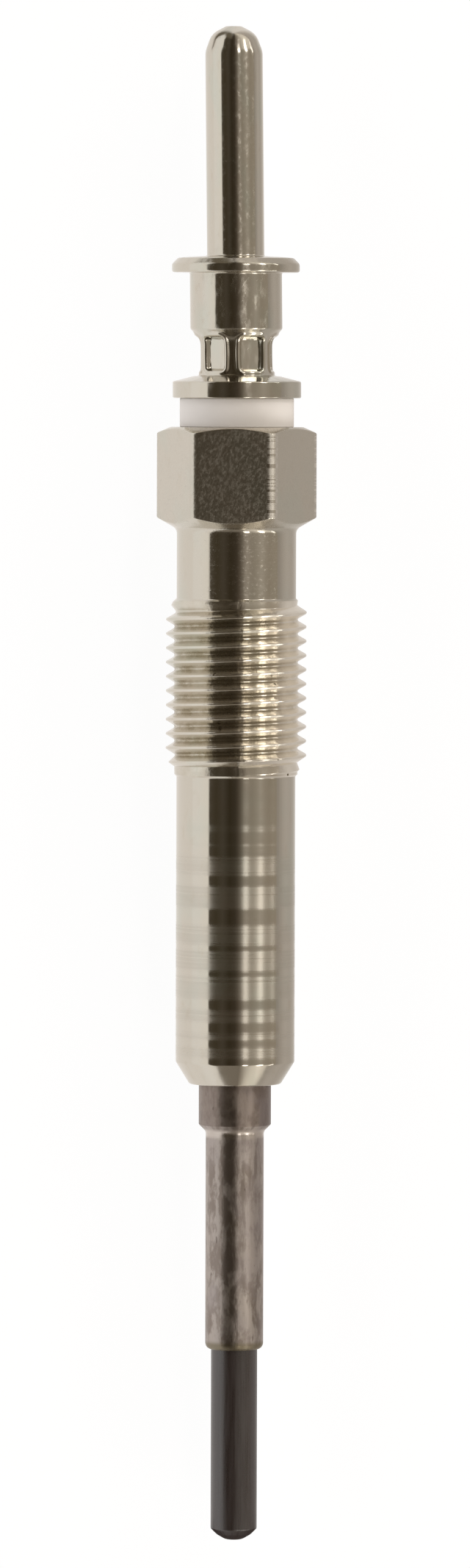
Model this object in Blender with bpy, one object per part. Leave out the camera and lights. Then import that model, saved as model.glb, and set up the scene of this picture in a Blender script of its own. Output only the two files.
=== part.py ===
"""Diesel glow plug with a ceramic heater: M10 x 1 thread, 10 mm hexagon, 4 mm pin terminal.

Each piece is modelled upright along its own Z axis, with the heater's tip down, and is placed along the
plug's axis by its location. Height 0 on that axis is the body's front face, just inside the cone seat.
One empty carries every piece and lays the plug down along Y, resting on a flat of its hexagon.
"""

import math

import bmesh
import bpy

# Clearance between pieces that seat in or on each other, and small edge breaks
fit_gap = 0.00005
edge_break = 0.0001

# Body: shank and cone seat
body_diameter = 0.00835
body_length = 0.02175
seat_angle = math.radians(63)
front_face_width = 0.00063
sleeve_bore_depth = 0.007
bore_air_gap = 0.000275

# Body: thread
thread_diameter = 0.00987
thread_pitch = 0.001
thread_length = 0.0122
thread_depth_ratio = 0.6134
thread_crest_ratio = 0.125
thread_flank = math.radians(30)
thread_start_angle = math.radians(274)
front_runout_turns = 1.25
rear_runout_turns = 0.75

# Body: neck and hexagon
neck_diameter = 0.00838
neck_length = 0.00498
neck_fillet = 0.00054
hex_across_flats = 0.00988
hex_corner_radius = 0.00065
hex_length = 0.00714
hex_front_chamfer = math.radians(30)
hex_rear_chamfer = math.radians(24)
hex_rear_face_inset = 0.000265

# Insulating bush and the seal under it
bush_flange_diameter = 0.008
bush_flange_thickness = 0.00193
bush_spigot_length = 0.002
seal_bore_diameter = 0.006

# Rod from the terminal towards the heater
rod_diameter = 0.0033
rod_in_terminal = 0.008
drill_angle = math.radians(118)

# Terminal
pin_diameter = 0.00402
pin_length = 0.01603
pin_tip_flat_diameter = 0.0011
stop_flange_diameter = 0.00895
stop_flange_height = 0.00136
stop_flange_edge = 0.0008
stop_flange_bevel = 0.00043
barrel_step = 0.00066
barrel_length = 0.00372
crimp_neck_wall = 0.00087
crimp_neck_length = 0.0037
crimp_neck_rear_fillet = 0.001
crimp_neck_front_fillet = 0.0005
base_flange_diameter = 0.00901
base_flange_edge = 0.00115
base_flange_slope = math.radians(16)
flange_edge_round = 0.00015

# Crimps pressed into the terminal's neck
crimp_count = 6
crimp_depth = 0.00039
crimp_floor_width = 0.0013
crimp_floor_length = 0.00205
crimp_side_slope = math.radians(40)
crimp_end_slope = math.radians(66)
crimp_height = 0.00307
crimp_punch_clear = 0.0003

# Heater sleeve
sleeve_collar_step = 0.0005
sleeve_collar_length = 0.00285
sleeve_collar_fillet = 0.0004
sleeve_wall = 0.000365
sleeve_end_wall = 0.00034
sleeve_length = 0.01583
sleeve_end_round = 0.00055

# Ceramic heater
heater_diameter = 0.00325
heater_exposed_length = 0.01348
heater_tip_angle = math.radians(32)
heater_tip_radius = 0.00135

# Contact ring, half on the heater and half on the rod, clear of the sleeve
ring_wall = 0.00045
ring_grip = 0.0035
ring_sleeve_space = 0.0015

# Conductors inside the heater
element_diameter = 0.0009
element_leg_offset = 0.00075
element_length = 0.008
element_tip_cover = 0.0011
lead_diameter = 0.0005
lead_bend_radius = 0.0004

# Facets
flat_spans = 5
wide_segments = 36
narrow_segments = 24
arc_steps = 4
tube_sides = 10
dome_steps = 6
round_steps = 2
bend_steps = 3
ring_section_sides = 8
sharp_edge_angle = math.radians(30)
merge_distance = 1e-7

# Radii that pieces share, from the heater outwards
heater_radius = heater_diameter / 2
heater_bore_radius = heater_radius + fit_gap
sleeve_radius = heater_bore_radius + sleeve_wall
collar_radius = sleeve_radius + sleeve_collar_step
sleeve_bore_radius = collar_radius + fit_gap
seat_end_radius = sleeve_bore_radius + front_face_width
ring_radius = heater_bore_radius + ring_wall
rod_radius = rod_diameter / 2
rod_hole_radius = rod_radius + fit_gap
rod_bore_radius = max(rod_radius, ring_radius) + bore_air_gap
crimp_neck_radius = rod_hole_radius + crimp_neck_wall
barrel_radius = crimp_neck_radius + barrel_step
seal_bore_radius = seal_bore_diameter / 2
seal_section = seal_bore_radius - rod_radius - 2 * fit_gap
seal_bore_depth = bush_spigot_length + seal_section + 3 * fit_gap

# The thread's section and its number of whole turns
thread_depth = thread_depth_ratio * thread_pitch
thread_root_radius = thread_diameter / 2 - thread_depth
crest_half = thread_crest_ratio * thread_pitch / 2
thread_turns = math.floor((thread_length - 2 * crest_half) / thread_pitch)

# Heights on the plug's axis
thread_start = body_length
thread_end = thread_start + thread_length
hex_start = thread_end + neck_length
hex_end = hex_start + hex_length
terminal_base = hex_end + bush_flange_thickness + 2 * fit_gap
sleeve_end = -sleeve_collar_length - sleeve_length
heater_tip = sleeve_end - heater_exposed_length
terminal_length = base_flange_edge + crimp_neck_length + barrel_length + stop_flange_height + pin_length
terminal_tip = terminal_base + terminal_length
ring_start = sleeve_bore_depth + ring_sleeve_space
heater_rear = ring_start + ring_grip
live_contact_height = ring_start + ring_grip / 2
ground_contact_height = sleeve_bore_depth / 2


def clear_scene():
    for old in list(bpy.data.objects):
        bpy.data.objects.remove(old, do_unlink=True)


def material(name, color, roughness, metallic):
    """A plain Principled material in the piece's own colour."""
    made = bpy.data.materials.new(name)
    made.use_nodes = True
    shader = made.node_tree.nodes["Principled BSDF"]
    shader.inputs["Base Color"].default_value = (*color, 1)
    shader.inputs["Roughness"].default_value = roughness
    shader.inputs["Metallic"].default_value = metallic
    return made


def mesh_object(name, shape, finish, height, carrier):
    """Turns a bmesh into a smooth-shaded object at a height on the plug's axis."""
    bmesh.ops.recalc_face_normals(shape, faces=shape.faces)
    mesh = bpy.data.meshes.new(name)
    shape.to_mesh(mesh)
    shape.free()
    mesh.shade_smooth()
    mesh.set_sharp_from_angle(angle=sharp_edge_angle)
    piece = bpy.data.objects.new(name, mesh)
    if finish:
        mesh.materials.append(finish)
    piece.location.z = height
    piece.parent = carrier
    bpy.context.scene.collection.objects.link(piece)
    return piece


def arc(center, radius, start, end, steps=arc_steps):
    """Points of an arc in the (radius, height) plane, from one angle to another, ends included."""
    angles = [math.radians(start + (end - start) * i / steps) for i in range(steps + 1)]
    return [(center[0] + radius * math.cos(a), center[1] + radius * math.sin(a)) for a in angles]


def turned(profile, segments, closed=False):
    """Spins a (radius, height) profile round the Z axis. An open profile starts and ends on the axis."""
    shape = bmesh.new()
    verts = [shape.verts.new((radius, 0, height)) for radius, height in profile]
    edges = [shape.edges.new(pair) for pair in zip(verts, verts[1:])]
    if closed:
        edges.append(shape.edges.new((verts[-1], verts[0])))
    bmesh.ops.spin(
        shape,
        geom=verts + edges,
        cent=(0, 0, 0),
        axis=(0, 0, 1),
        angle=2 * math.pi,
        steps=segments,
        use_merge=True,
    )
    bmesh.ops.remove_doubles(shape, verts=shape.verts, dist=merge_distance)
    return shape


def swept_tube(path, radii):
    """A round tube along a path in the XZ plane, with a radius for each point and both ends filled."""
    shape = bmesh.new()
    rings = []
    for i, (x, z) in enumerate(path):
        before = path[max(i - 1, 0)]
        after = path[min(i + 1, len(path) - 1)]
        run = math.hypot(after[0] - before[0], after[1] - before[1])
        across_x = (after[1] - before[1]) / run
        across_z = (before[0] - after[0]) / run
        ring = []
        for side in range(tube_sides):
            angle = 2 * math.pi * side / tube_sides
            out = radii[i] * math.cos(angle)
            point = (x + across_x * out, radii[i] * math.sin(angle), z + across_z * out)
            ring.append(shape.verts.new(point))
        rings.append(ring)
    for lower, upper in zip(rings, rings[1:]):
        for side in range(tube_sides):
            following = (side + 1) % tube_sides
            shape.faces.new((lower[side], lower[following], upper[following], upper[side]))
    shape.faces.new(rings[0])
    shape.faces.new(rings[-1])
    return shape


def hex_sector():
    """Half the angle of a rounded corner, and the distance from the axis to that corner's own centre."""
    center = (hex_across_flats / 2 - hex_corner_radius) / math.cos(math.pi / 6)
    half_angle = math.atan2(
        hex_corner_radius / 2,
        center + hex_corner_radius * math.cos(math.pi / 6),
    )
    return half_angle, center


def hex_radius(angle):
    """Distance from the axis to the hexagon's side at an angle. A corner lies at angle 0."""
    half_angle, center = hex_sector()
    off_corner = abs((angle + math.pi / 6) % (math.pi / 3) - math.pi / 6)
    if off_corner > half_angle:
        return hex_across_flats / 2 / math.cos(math.pi / 6 - off_corner)
    reach = math.sqrt(hex_corner_radius**2 - (center * math.sin(off_corner)) ** 2)
    return center * math.cos(off_corner) + reach


def column_angles():
    """Angles once round from the thread's start, near the middle of the uppermost flat."""
    half_angle, _ = hex_sector()
    flat = math.pi / 3 - 2 * half_angle
    angles = []
    for corner in range(6):
        base = corner * math.pi / 3
        angles.append(base)
        angles += [base + half_angle + flat * i / flat_spans for i in range(flat_spans + 1)]
    start = min(range(len(angles)), key=lambda i: abs(angles[i] - thread_start_angle))
    return [a - 2 * math.pi for a in angles[start:]] + angles[:start]


def thread_tooth(turn, last_turn):
    """The four corners of the thread's ridge at a number of turns from its start, as (radius, height)."""
    rise = min(1, turn / front_runout_turns, (last_turn - turn) / rear_runout_turns)
    depth = thread_depth * max(rise, 0)
    foot_half = crest_half + depth * math.tan(thread_flank)
    spare = thread_length - 2 * crest_half - thread_turns * thread_pitch
    height = thread_start + crest_half + spare / 2 + turn * thread_pitch
    return [
        (thread_root_radius, height - foot_half),
        (thread_root_radius + depth, height - crest_half),
        (thread_root_radius + depth, height + crest_half),
        (thread_root_radius, height + foot_half),
    ]


def front_outline():
    """The body from the mouth of its sleeve bore out over the cone seat and up to the thread."""
    seat_slope = math.tan(seat_angle / 2)
    body = body_diameter / 2
    return [
        (sleeve_bore_radius, 0),
        (seat_end_radius - edge_break, 0),
        (seat_end_radius + edge_break * seat_slope, edge_break),
        (body, (body - seat_end_radius) / seat_slope),
        (body, thread_start - abs(thread_root_radius - body)),
        (thread_root_radius, thread_start),
    ]


def rear_outline(angle):
    """The body from the thread up the neck, over the hexagon at an angle, and down through the bores."""
    neck = neck_diameter / 2
    slope = math.tan(hex_front_chamfer)
    hexagon = hex_radius(angle)
    fillet_rise = neck_fillet * math.tan(math.pi / 4 - hex_front_chamfer / 2)
    fillet_center = (neck + neck_fillet, hex_start - fillet_rise)
    rear_face = hex_across_flats / 2 - hex_rear_face_inset
    seal_floor = hex_end - seal_bore_depth
    return [
        (thread_root_radius, thread_end),
        (neck, thread_end + abs(thread_root_radius - neck)),
        *arc(fillet_center, neck_fillet, 180, 90 + math.degrees(hex_front_chamfer), bend_steps),
        (hexagon, hex_start + (hexagon - neck) * slope),
        (hexagon, hex_end - (hexagon - rear_face) * math.tan(hex_rear_chamfer)),
        (rear_face, hex_end),
        (seal_bore_radius + edge_break, hex_end),
        (seal_bore_radius, hex_end - edge_break),
        (seal_bore_radius, seal_floor),
        (rod_bore_radius, seal_floor),
        (rod_bore_radius, sleeve_bore_depth + fit_gap),
        (sleeve_bore_radius, sleeve_bore_depth + fit_gap),
    ]


def join_columns(shape, left, right):
    for low_left, high_left, low_right, high_right in zip(left, left[1:], right, right[1:]):
        shape.faces.new((low_left, low_right, high_right, high_left))


def housing_shape():
    """The body as columns of points round the axis. Between its ends the thread climbs a pitch each turn."""
    angles = column_angles()
    shares = [(a - angles[0]) / (2 * math.pi) for a in angles]
    last_turn = thread_turns - 1 + shares[-1]
    shape = bmesh.new()
    columns = []
    for angle, share in zip(angles, shares):
        teeth = [corner for k in range(thread_turns) for corner in thread_tooth(k + share, last_turn)]
        parts = (front_outline(), teeth, rear_outline(angle))
        columns.append(
            [
                [shape.verts.new((r * math.cos(angle), r * math.sin(angle), height)) for r, height in part]
                for part in parts
            ]
        )
    for left, right in zip(columns, columns[1:]):
        whole_left = sum(left, [])
        whole_right = sum(right, [])
        join_columns(shape, whole_left + whole_left[:1], whole_right + whole_right[:1])
    close_seam(shape, columns[-1], columns[0])
    return shape


def close_seam(shape, left, right):
    """Joins the last column to the first, where each ridge of the last meets the next ridge up."""
    left_front, left_teeth, left_rear = left
    right_front, right_teeth, right_rear = right
    join_columns(shape, left_rear[-1:] + left_front, right_rear[-1:] + right_front)
    join_columns(shape, left_teeth[:-4], right_teeth[4:])
    join_columns(shape, left_rear, right_rear)
    shape.faces.new([left_front[-1], right_front[-1], *right_teeth[:5], left_teeth[0]])
    shape.faces.new([left_rear[0], *reversed(left_teeth[-5:]), right_teeth[-1], right_rear[0]])


def terminal_shape():
    """The terminal's turned form, from its own base up to the pin's tip, hollow from below."""
    pin = pin_diameter / 2
    base = base_flange_diameter / 2
    stop = stop_flange_diameter / 2
    neck_bottom = base_flange_edge
    slope_run = base - flange_edge_round - crimp_neck_radius - crimp_neck_front_fillet
    slope_top = neck_bottom + slope_run * math.tan(base_flange_slope)
    slope_normal = 90 - math.degrees(base_flange_slope)
    barrel_bottom = neck_bottom + crimp_neck_length
    stop_bottom = barrel_bottom + barrel_length
    stop_edge = stop_bottom + stop_flange_edge
    pin_bottom = stop_bottom + stop_flange_height
    pin_top = pin_bottom + pin_length
    tip_flat = pin_tip_flat_diameter / 2
    dome_start = pin_top - math.sqrt(pin**2 - tip_flat**2)
    socket_end = rod_in_terminal + 2 * fit_gap
    drill_point = rod_hole_radius / math.tan(drill_angle / 2)
    rear = crimp_neck_rear_fillet
    sweep = math.acos(1 - barrel_step / rear)
    rear_center = (crimp_neck_radius + rear, barrel_bottom - rear * math.sin(sweep))
    front = crimp_neck_front_fillet
    edge = flange_edge_round
    return turned(
        [
            (0, socket_end + drill_point),
            (rod_hole_radius, socket_end),
            (rod_hole_radius, edge_break),
            (rod_hole_radius + edge_break, 0),
            *arc((base - edge, edge), edge, -90, 0, round_steps),
            *arc((base - edge, neck_bottom - edge), edge, 0, slope_normal, round_steps),
            *arc((crimp_neck_radius + front, slope_top + front), front, 270, 180, bend_steps),
            *arc(rear_center, rear, 180, 180 - math.degrees(sweep), bend_steps),
            (barrel_radius, stop_bottom),
            *arc((stop - edge, stop_bottom + edge), edge, -90, 0, round_steps),
            (stop, stop_edge),
            (stop - stop_flange_bevel, stop_edge + stop_flange_bevel),
            (pin, pin_bottom),
            *arc((0, dome_start), pin, 0, math.degrees(math.acos(tip_flat / pin)), dome_steps),
            (0, pin_top),
        ],
        wide_segments,
    )


def crimp_punch_shape():
    """A blunt wedge that presses one flat-floored window into the terminal's neck from the side of +X."""
    floor = crimp_neck_radius - crimp_depth
    reach = crimp_neck_radius + crimp_punch_clear
    side_spread = (reach - floor) / math.tan(crimp_side_slope)
    end_spread = (reach - floor) / math.tan(crimp_end_slope)
    shape = bmesh.new()
    bmesh.ops.create_cube(shape, size=1)
    for corner in shape.verts:
        outer = corner.co.x > 0
        width = crimp_floor_width + (2 * side_spread if outer else 0)
        length = crimp_floor_length + (2 * end_spread if outer else 0)
        corner.co = (reach if outer else floor, corner.co.y * width, corner.co.z * length)
    return shape


def cut(piece, cutter, label):
    cutter.hide_render = True
    cutter.display_type = "WIRE"
    boolean = piece.modifiers.new(label, "BOOLEAN")
    boolean.operation = "DIFFERENCE"
    boolean.solver = "EXACT"
    boolean.object = cutter


def bush_shape():
    """The bush from the foot of its spigot up to the top of its flange."""
    flange = bush_flange_diameter / 2
    spigot = seal_bore_radius - fit_gap
    shoulder = bush_spigot_length + fit_gap
    top = shoulder + bush_flange_thickness
    return turned(
        [
            (rod_hole_radius, 0),
            (spigot - edge_break, 0),
            (spigot, edge_break),
            (spigot, shoulder),
            (flange - edge_break, shoulder),
            (flange, shoulder + edge_break),
            (flange, top - edge_break),
            (flange - edge_break, top),
            (rod_hole_radius, top),
        ],
        wide_segments,
        closed=True,
    )


def seal_shape():
    middle = (seal_bore_radius + rod_radius) / 2
    section = arc((middle, 0), seal_section / 2, 0, 360, ring_section_sides)
    return turned(section[:-1], narrow_segments, closed=True)


def rod_shape():
    """The rod from the foot of its front spigot up to its end in the terminal."""
    length = terminal_base + rod_in_terminal - heater_rear - fit_gap
    rod_chamfer = 2 * edge_break
    return turned(
        [
            (0, 0),
            (heater_radius - edge_break, 0),
            (heater_radius, edge_break),
            (heater_radius, ring_grip),
            (rod_radius, ring_grip + edge_break),
            (rod_radius, length - rod_chamfer),
            (rod_radius - rod_chamfer, length),
            (0, length),
        ],
        narrow_segments,
    )


def ring_shape():
    ring_length = 2 * ring_grip
    return turned(
        [
            (heater_bore_radius, 0),
            (ring_radius - edge_break, 0),
            (ring_radius, edge_break),
            (ring_radius, ring_length - edge_break),
            (ring_radius - edge_break, ring_length),
            (heater_bore_radius, ring_length),
        ],
        narrow_segments,
        closed=True,
    )


def sleeve_shape():
    """The sleeve, with height 0 at the body's front face: collar up into the body, thin barrel down."""
    rounded = [
        (
            heater_bore_radius + sleeve_end_wall * across,
            sleeve_end + sleeve_end_round * (1 + along),
        )
        for across, along in arc((0, 0), 1, -90, 0)
    ]
    fillet = sleeve_collar_fillet
    fillet_rise = fillet * math.tan(math.pi / 8)
    fillet_center = (sleeve_radius + fillet, -sleeve_collar_length - sleeve_collar_step - fillet_rise)
    lead_in = 2 * edge_break
    return turned(
        [
            (heater_bore_radius, sleeve_bore_depth),
            *rounded,
            *arc(fillet_center, fillet, 180, 135, round_steps),
            (collar_radius, -sleeve_collar_length),
            (collar_radius, sleeve_bore_depth - lead_in),
            (collar_radius - lead_in, sleeve_bore_depth),
        ],
        wide_segments,
        closed=True,
    )


def heater_outline_shape():
    """The ceramic rod from the apex of its tip, a blunted cone, up to its rear end."""
    blunt = heater_tip_radius
    cone_start = blunt * math.sin(heater_tip_angle)
    cone_height = (heater_radius - cone_start) * math.tan(heater_tip_angle)
    length = heater_rear - heater_tip
    return turned(
        [
            *arc((0, blunt), blunt, -90, -90 + math.degrees(heater_tip_angle), bend_steps),
            (heater_radius, blunt * (1 - math.cos(heater_tip_angle)) + cone_height),
            (heater_radius, length - edge_break),
            (heater_radius - edge_break, length),
            (0, length),
        ],
        narrow_segments,
    )


def element_path(beyond):
    """The element's centre line: down one leg, round the bend at the tip, up the other leg, and beyond."""
    bend = element_leg_offset
    bend_height = element_tip_cover + element_diameter / 2 + bend
    top = element_tip_cover + element_length + beyond
    return [(-bend, top), *arc((0, bend_height), bend, 180, 360, 2 * arc_steps), (bend, top)]


def lead_path(side, height, surface, beyond):
    """A lead's centre line, from beyond the element up and out to the heater's side, -1 or 1."""
    bend = lead_bend_radius
    start = element_tip_cover + element_length + 2 * beyond
    turn = arc((element_leg_offset + bend, height - bend), bend, 180, 90, bend_steps)
    return [(side * x, z) for x, z in [(element_leg_offset, start), *turn, (surface, height)]]


def cavity_shape():
    """The one channel in the ceramic that holds the element and both leads, open at the two contacts."""
    outside = heater_radius + bore_air_gap
    ground = lead_path(-1, ground_contact_height - heater_tip, outside, fit_gap)
    live = lead_path(1, live_contact_height - heater_tip, outside, fit_gap)
    legs = element_path(fit_gap)
    wire = lead_diameter / 2 + fit_gap
    element = element_diameter / 2 + fit_gap
    path = [*reversed(ground), *legs, *live]
    radii = [wire] * len(ground) + [element] * len(legs) + [wire] * len(live)
    return swept_tube(path, radii)


def lead_shape(side, contact_height):
    path = lead_path(side, contact_height - heater_tip, heater_radius - fit_gap, fit_gap)
    return swept_tube(path, [lead_diameter / 2] * len(path))


def element_shape():
    path = element_path(0)
    return swept_tube(path, [element_diameter / 2] * len(path))


def plug_axis():
    """The empty that lays the plug along Y, with the middle of its length over the origin."""
    axis = bpy.data.objects.new("plug_axis", None)
    axis.rotation_euler.x = -math.pi / 2
    axis.location.y = -(terminal_tip + heater_tip) / 2
    axis.location.z = max(hex_across_flats, thread_diameter) / 2
    bpy.context.scene.collection.objects.link(axis)
    return axis


def build():
    clear_scene()
    axis = plug_axis()
    nickel = (0.62, 0.58, 0.53)
    body_steel = material("housing_nickel", nickel, 0.28, 1)
    pin_steel = material("terminal_nickel", nickel, 0.22, 1)
    white = material("bush_white", (0.74, 0.71, 0.69), 0.6, 0)
    rubber = material("seal_rubber", (0.02, 0.02, 0.02), 0.7, 0)
    rod_steel = material("rod_steel", (0.45, 0.44, 0.43), 0.4, 1)
    ring_steel = material("contact_ring_steel", (0.5, 0.48, 0.45), 0.4, 1)
    heated_steel = material("sleeve_heated_steel", (0.33, 0.29, 0.26), 0.45, 1)
    ceramic = material("heater_ceramic", (0.05, 0.045, 0.04), 0.35, 0)
    conductor = material("element_ceramic", (0.09, 0.08, 0.08), 0.5, 0)
    live_wire = material("live_lead_tungsten", (0.4, 0.4, 0.42), 0.4, 1)
    ground_wire = material("ground_lead_tungsten", (0.38, 0.38, 0.4), 0.4, 1)

    mesh_object("housing", housing_shape(), body_steel, 0, axis)
    terminal = mesh_object("pin_terminal", terminal_shape(), pin_steel, terminal_base, axis)
    for crimp in range(crimp_count):
        label = f"crimp_punch_{crimp + 1}"
        punch = mesh_object(label, crimp_punch_shape(), None, terminal_base + crimp_height, axis)
        punch.rotation_euler.z = 2 * math.pi * crimp / crimp_count
        cut(terminal, punch, label)
    bush_foot = hex_end - bush_spigot_length
    mesh_object("insulating_bush", bush_shape(), white, bush_foot, axis)
    seal_height = bush_foot - fit_gap - seal_section / 2
    mesh_object("seal_ring", seal_shape(), rubber, seal_height, axis)
    mesh_object("centre_rod", rod_shape(), rod_steel, heater_rear + fit_gap, axis)
    mesh_object("contact_ring", ring_shape(), ring_steel, ring_start, axis)
    mesh_object("heater_sleeve", sleeve_shape(), heated_steel, 0, axis)
    heater = mesh_object("ceramic_heater", heater_outline_shape(), ceramic, heater_tip, axis)
    cut(heater, mesh_object("conductor_cutter", cavity_shape(), None, heater_tip, axis), "conductors")
    mesh_object("heating_element", element_shape(), conductor, heater_tip, axis)
    mesh_object("live_lead", lead_shape(1, live_contact_height), live_wire, heater_tip, axis)
    mesh_object("ground_lead", lead_shape(-1, ground_contact_height), ground_wire, heater_tip, axis)


build()
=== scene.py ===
"""Looks of the glow plug: fine meshes and metals for the five pieces that show, the floor, lamps and camera.

Profiles are (radius, height, rounding) in millimetres, as in the CAD: height 0 is the body's front face.
Angles go round the plug's axis from straight up towards +X.
"""

import math

import bmesh
import bpy
import numpy as np
from mathutils import Matrix, Vector


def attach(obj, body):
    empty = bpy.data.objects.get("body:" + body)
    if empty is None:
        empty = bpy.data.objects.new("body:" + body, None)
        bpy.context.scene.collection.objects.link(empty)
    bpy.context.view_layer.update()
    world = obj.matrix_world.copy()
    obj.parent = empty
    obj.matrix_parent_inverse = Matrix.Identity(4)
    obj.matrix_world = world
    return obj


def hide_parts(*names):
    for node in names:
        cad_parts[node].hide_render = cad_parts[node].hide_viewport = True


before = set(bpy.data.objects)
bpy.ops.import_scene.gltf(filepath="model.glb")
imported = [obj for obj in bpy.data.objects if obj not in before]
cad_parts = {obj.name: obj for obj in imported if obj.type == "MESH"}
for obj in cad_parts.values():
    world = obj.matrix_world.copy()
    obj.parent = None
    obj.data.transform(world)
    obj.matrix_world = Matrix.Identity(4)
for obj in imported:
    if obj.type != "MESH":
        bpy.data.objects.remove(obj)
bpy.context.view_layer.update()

# The plug's axis and the body's front face in the frame, in millimetres
AXIS_Z = 4.94
FRONT_FACE_Y = -20.95

# Edges that turn by more than this stay sharp
SHARP_ANGLE = math.radians(30)

# A rounding reaches at least this far, so that its faces keep some area
LEAST_REACH = 0.006

# The body, in millimetres as in the CAD: outer radii, the three bores, the thread and the hexagon
BODY, NECK = 4.175, 4.19
FRONT_BORE, BORE, REAR_BORE = 2.59, 2.4, 3.0
THREAD_ROOT, THREAD_CREST = 4.3216, 4.935
THREAD_START, THREAD_END = 21.75, 33.95
PITCH, CREST_HALF = 1.0, 0.0625
CREST_ROUND, ROOT_ROUND = 0.108, 0.144
TURNS = 12
FRONT_RUNOUT, REAR_RUNOUT = 1.25, 0.75
HEX_START, HEX_END = 38.93, 46.07
HEX_FLAT, HEX_REAR, HEX_CORNER = 4.94, 4.675, 0.65

# The terminal's radii, the height of its base, and the crimps in its neck
TERMINAL_BORE, FOOT, CRIMP_NECK, BARREL, FLANGE, PIN = 1.7, 4.505, 2.57, 3.23, 4.475, 2.01
TERMINAL_BASE = 48.10
CRIMP_HEIGHT, CRIMP_HALF_HEIGHT = 51.17, 1.2
CRIMP_CORNER, CRIMP_WALL, CRIMP_LIP = 0.28, 0.18, 0.095

# Each crimp's angle, depth and half width: pressed by hand tools, so not quite even
CRIMPS = [
    (28, 0.39, 0.93),
    (-34.5, 0.39, 0.87),
    (89, 0.37, 0.98),
    (150, 0.39, 0.98),
    (-151, 0.4, 0.98),
    (-91, 0.37, 0.98),
]

# How far the photographed terminal leans to the left, as a slope
TERMINAL_LEAN = 0.0115

# Radii of the sleeve and the heater
SLEEVE_BORE, COLLAR, SLEEVE, HEATER = 1.675, 2.54, 2.04, 1.625

# Nickel plate where it is clean
NICKEL = (0.64, 0.598, 0.522)

# What the metal mirrors round the plug's axis, by degrees from straight up towards +X
ROOM = [
    (-180, (0.93, 0.93, 0.925)),
    (-75, (0.97, 0.95, 0.935)),
    (-51.5, (0.96, 0.93, 0.885)),
    (-49.5, (0.08, 0.066, 0.048)),
    (-35, (0.06, 0.048, 0.03)),
    (-22, (0.075, 0.062, 0.046)),
    (-8.5, (0.042, 0.032, 0.019)),
    (3, (0.055, 0.043, 0.03)),
    (9, (0.10, 0.08, 0.06)),
    (14.5, (0.18, 0.155, 0.125)),
    (19, (0.27, 0.235, 0.195)),
    (24, (0.32, 0.28, 0.235)),
    (36, (0.32, 0.285, 0.235)),
    (52, (0.40, 0.36, 0.305)),
    (70, (0.345, 0.30, 0.245)),
    (92, (0.37, 0.325, 0.265)),
    (105, (0.50, 0.46, 0.38)),
    (180, (0.50, 0.46, 0.38)),
]

# What it mirrors beyond both ends of the plug on the right, overhead in front of it, behind it,
# and on the floor in front of it
BRIGHT_ENDS = (0.92, 0.86, 0.77)
FRONT_END = (0.24, 0.21, 0.175)
REAR_END = (0.16, 0.135, 0.10)
FLOOR_IN_FRONT = (0.10, 0.08, 0.075)

# The world's light on surfaces that aren't shiny, against what shiny ones mirror
WORLD_ON_MATT = 1.75

# Lightness of the floor as the metal mirrors it, by millimetres to the right of the axis
FLOOR_SEEN = [
    (0, 0.93), (2, 0.93), (4.5, 0.72), (7, 0.57), (9.5, 0.52),
    (12, 0.53), (16, 0.55), (35, 0.47), (90, 0.39),
]

# Each lamp's direction from the plug, its angular width and length, and its radiance
LAMPS = [
    ((0.339, -0.60, 0.725), 0.15, 0.36, 4.0),
    ((0.684, -0.60, 0.415), 0.15, 0.36, 4.6),
    ((0.860, -0.50, 0.070), 0.07, 0.34, 2.8),
    ((0.354, 0.50, 0.790), 0.15, 0.34, 4.0),
    ((0.703, 0.55, 0.452), 0.15, 0.34, 4.6),
    ((0.886, 0.46, 0.060), 0.07, 0.34, 2.8),
]
LAMP_DISTANCE = 0.6
LAMP_COLOUR = (1, 0.97, 0.93)

# The camera's aim and distance in metres, its lean towards +X and +Y and its roll in degrees
AIM = (-0.000054, 0.0001, 0.00494)
CAMERA_DISTANCE = 0.68
LEAN_X, LEAN_Y, ROLL = 3, 2.54, 0.168


# ---------------------------------------------------------------- meshes


def rounded(corners, steps=4):
    """Rows of points along corners (radius, height, rounding). Each may be an array with one value a column."""
    table = [[np.asarray(value, float) for value in corner] for corner in corners]
    shape = np.broadcast_shapes(*(value.shape for corner in table for value in corner))
    points = [np.stack([np.broadcast_to(c[0], shape), np.broadcast_to(c[1], shape)], -1) for c in table]
    rows = []
    for i, corner in enumerate(table):
        here = points[i]
        if i in (0, len(table) - 1) or not corner[2].any():
            rows.append(here)
            continue
        back, ahead = points[i - 1] - here, points[i + 1] - here
        back_length = np.linalg.norm(back, axis=-1)
        ahead_length = np.linalg.norm(ahead, axis=-1)
        back = back / np.maximum(back_length, 1e-9)[..., None]
        ahead = ahead / np.maximum(ahead_length, 1e-9)[..., None]
        half_turn = (math.pi - np.arccos(np.clip((back * ahead).sum(-1), -1, 1))) / 2
        reach = np.maximum(corner[2] * np.tan(half_turn), LEAST_REACH)
        reach = np.minimum(reach, 0.45 * np.minimum(back_length, ahead_length))[..., None]
        weight = np.cos(half_turn)[..., None]
        for step in range(steps + 1):
            t = step / steps
            a, b, c = (1 - t) ** 2, 2 * t * (1 - t) * weight, t**2
            middle = a * (here + back * reach) + b * here + c * (here + ahead * reach)
            rows.append(middle / (a + b + c))
    return np.array(rows)


def subdivided(points, longest):
    """The same line of (radius, height) rows with long straight runs split up."""
    rows = [points[0]]
    for before, after in zip(points, points[1:]):
        run = np.linalg.norm(after - before, axis=-1).max()
        count = max(1, math.ceil(run / longest))
        rows += [before + (after - before) * (i + 1) / count for i in range(count)]
    return np.array(rows)


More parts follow.
